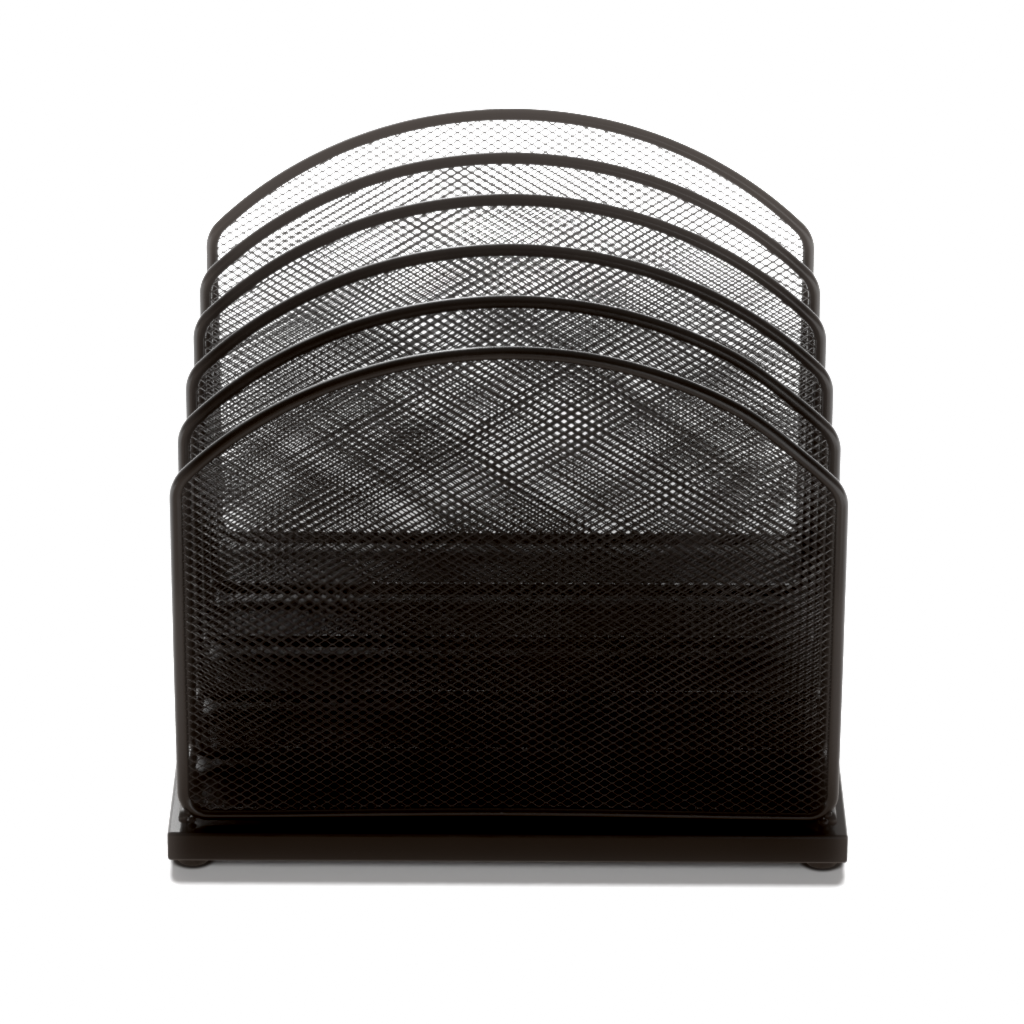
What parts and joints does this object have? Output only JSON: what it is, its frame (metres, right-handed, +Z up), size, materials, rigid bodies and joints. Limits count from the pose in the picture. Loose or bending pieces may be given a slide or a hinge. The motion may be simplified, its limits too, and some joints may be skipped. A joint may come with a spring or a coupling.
{
  "type": "desktop file sorter",
  "caption": "Desktop file sorter with arched wire-framed mesh dividers on side rails, standing on a shallow folded steel tray with rubber feet.",
  "frame": {"origin": "on the surface that the sorter stands on, under the middle of the tray", "axes": "+Z up, -Y towards the front, +X to the viewer's right; the dividers stand across X and follow one another along Y"},
  "size_m": [0.309, 0.3186, 0.2544],
  "materials": {
    "rod_powder_coat": "satin black powder coat on steel rod",
    "mesh_powder_coat": "satin black powder coat on expanded steel sheet",
    "tray_enamel": "semi-gloss black enamel on folded steel sheet",
    "foot_rubber": "matt moulded rubber",
    "screw_steel": "plain zinc-plated steel"
  },
  "bodies": {
    "root": {"base_tray": "tray_enamel", "divider_frame_1": "rod_powder_coat", "divider_frame_2": "rod_powder_coat", "divider_frame_3": "rod_powder_coat", "divider_frame_4": "rod_powder_coat", "divider_frame_5": "rod_powder_coat", "divider_frame_6": "rod_powder_coat", "mesh_panel_1": "mesh_powder_coat", "mesh_panel_2": "mesh_powder_coat", "mesh_panel_3": "mesh_powder_coat", "mesh_panel_4": "mesh_powder_coat", "mesh_panel_5": "mesh_powder_coat", "mesh_panel_6": "mesh_powder_coat", "side_rail_left": "rod_powder_coat", "side_rail_right": "rod_powder_coat", "weld_lug_front_left": "rod_powder_coat", "weld_lug_front_right": "rod_powder_coat", "weld_lug_back_left": "rod_powder_coat", "weld_lug_back_right": "rod_powder_coat", "foot_front_left": "foot_rubber", "foot_front_right": "foot_rubber", "foot_back_left": "foot_rubber", "foot_back_right": "foot_rubber", "foot_screw_front_left": "screw_steel", "foot_screw_front_right": "screw_steel", "foot_screw_back_left": "screw_steel", "foot_screw_back_right": "screw_steel"}
  },
  "joints": []
}
